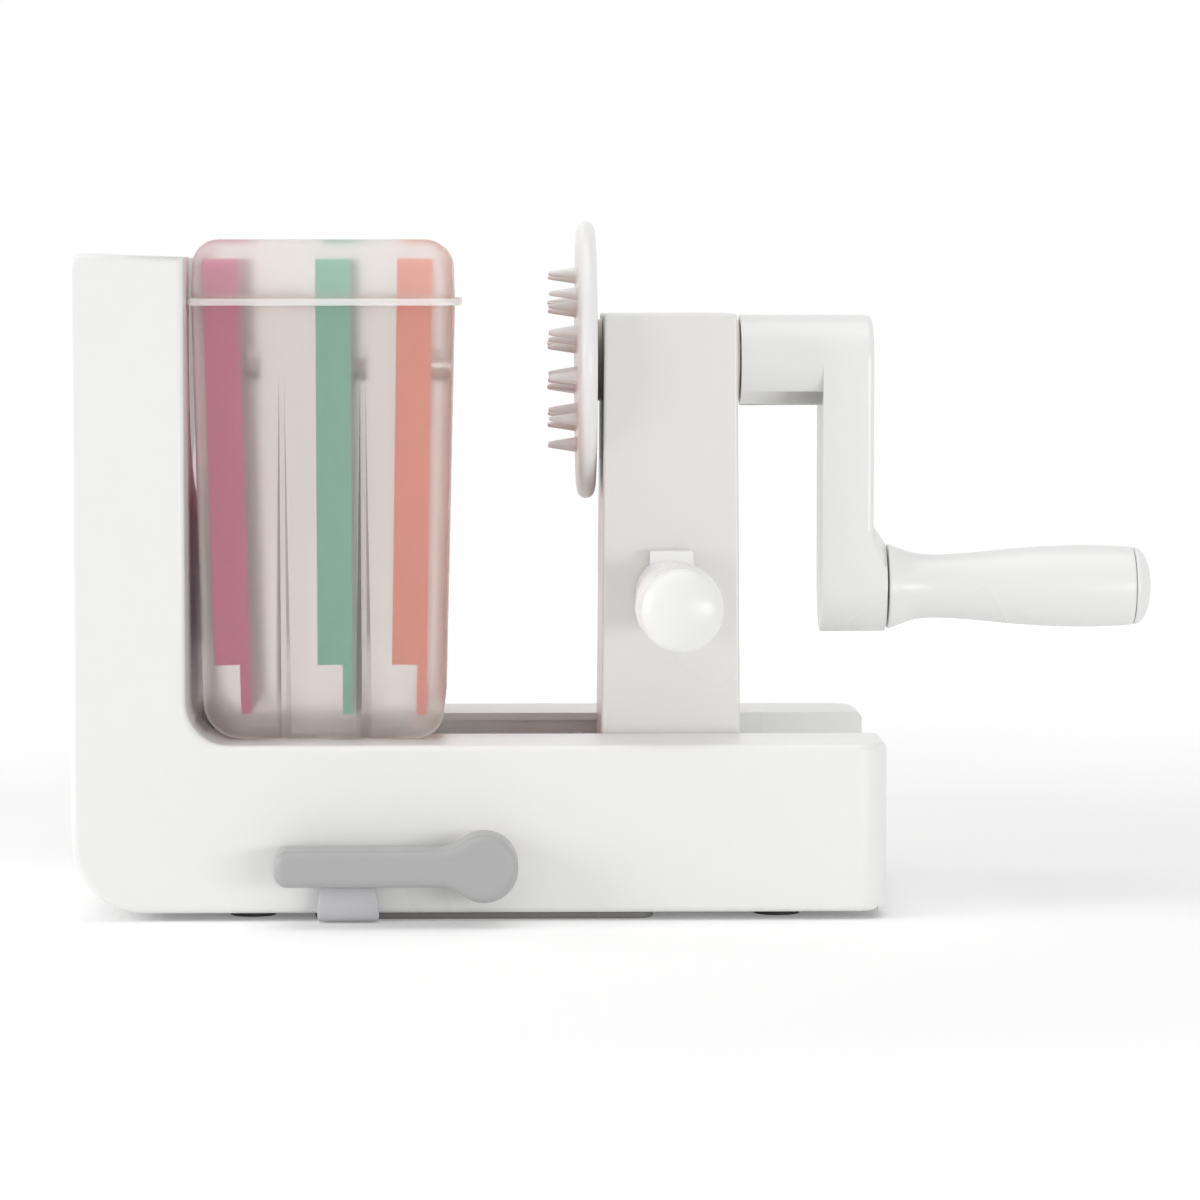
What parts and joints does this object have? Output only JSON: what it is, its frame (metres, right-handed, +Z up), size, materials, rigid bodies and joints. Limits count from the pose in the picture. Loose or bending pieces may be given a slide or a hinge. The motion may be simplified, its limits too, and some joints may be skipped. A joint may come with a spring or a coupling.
{
  "type": "spiralizer",
  "caption": "Table-top vegetable spiralizer: L-shaped base with blade tower, hand crank and food holder on a sliding column, suction pad with lever, and a stored blade box.",
  "frame": {"origin": "on the counter under the middle of the suction pad, which is also under the suction lever's shaft", "axes": "+X along the base towards the crank, +Y away from the side handle and the suction lever, +Z up"},
  "size_m": [0.3361, 0.1867, 0.2122],
  "materials": {
    "white_gloss": "glossy white ABS moulding",
    "white_satin": "satin white plastic",
    "grey_lever": "satin grey plastic",
    "grey_bush": "self-lubricating grey-brown acetal",
    "steel": "brushed stainless steel",
    "pad_rubber": "glossy light grey rubber",
    "foot_rubber": "dark grey rubber",
    "frosted": "frosted translucent polypropylene",
    "magenta": "satin magenta plastic",
    "green": "satin sea green plastic",
    "orange": "satin orange plastic"
  },
  "bodies": {
    "base": {"base_housing": "white_gloss", "base_plate": "white_satin", "base_plate_screws": "steel", "rubber_feet": "foot_rubber", "suction_pad": "pad_rubber", "lever_bush": "grey_bush"},
    "lever": {"suction_lever": "grey_lever", "cam_shaft": "grey_bush", "shaft_clip": "steel"},
    "plunger": {"suction_plunger": "white_satin"},
    "carriage": {"carriage_column": "white_gloss", "carriage_foot": "white_satin", "carriage_foot_screws": "steel", "food_side_bush": "grey_bush", "crank_side_bush": "grey_bush", "side_handle": "white_gloss", "side_handle_cap": "white_gloss", "button_spring": "steel"},
    "release_button": {"release_button": "white_gloss"},
    "crank": {"crank_shaft": "steel", "food_holder": "white_gloss", "crank_arm": "white_gloss", "crank_screw": "steel", "grip_pin": "steel"},
    "grip": {"crank_grip": "white_gloss", "crank_grip_cap": "white_gloss"},
    "blade_box": {"blade_box": "frosted", "lid_hinge_pin": "steel", "coarse_cassette_frame": "orange", "coarse_coring_ring": "steel", "coarse_slicing_blade": "steel", "coarse_tooth_strip": "steel", "fine_cassette_frame": "green", "fine_coring_ring": "steel", "fine_slicing_blade": "steel", "fine_tooth_strip": "steel", "ribbon_cassette_frame": "magenta", "ribbon_coring_ring": "steel", "ribbon_slicing_blade": "steel"},
    "box_lid": {"box_lid": "frosted"}
  },
  "joints": [
    {"name": "lever_turn", "type": "hinge", "parent": "base", "child": "lever", "pos_m": [0, -0.0732, 0.018], "axis": [0, 1, 0], "range_deg": [0, 180]},
    {"name": "plunger_lift", "type": "slide", "parent": "base", "child": "plunger", "axis": [0, 0, 1], "range_m": [0, 0.00501], "deforming": ["suction_pad"]},
    {"name": "carriage_slide", "type": "slide", "parent": "base", "child": "carriage", "axis": [-1, 0, 0], "range_m": [0, 0.024]},
    {"name": "crank_turn", "type": "hinge", "parent": "carriage", "child": "crank", "pos_m": [0.05795, 0, 0.1685], "axis": [1, 0, 0], "continuous": true},
    {"name": "grip_spin", "type": "hinge", "parent": "crank", "child": "grip", "pos_m": [0.1275, 0, 0.0968], "axis": [1, 0, 0], "continuous": true},
    {"name": "button_press", "type": "slide", "parent": "carriage", "child": "release_button", "axis": [0, 0, -1], "range_m": [0, 0.002], "stiffness_N_per_m": 800, "springref_m": -0.001, "deforming": ["button_spring"]},
    {"name": "box_lift", "type": "slide", "parent": "base", "child": "blade_box", "axis": [0, 0, 1], "range_m": [0, 0.16]},
    {"name": "lid_open", "type": "hinge", "parent": "blade_box", "child": "box_lid", "pos_m": [-0.04895, 0.059, 0.187], "axis": [-1, 0, 0], "range_deg": [0, 110]}
  ],
  "couplings": [
    {"joint": "plunger_lift", "follows": "lever_turn", "m_per_rad": 0.0015915}
  ]
}
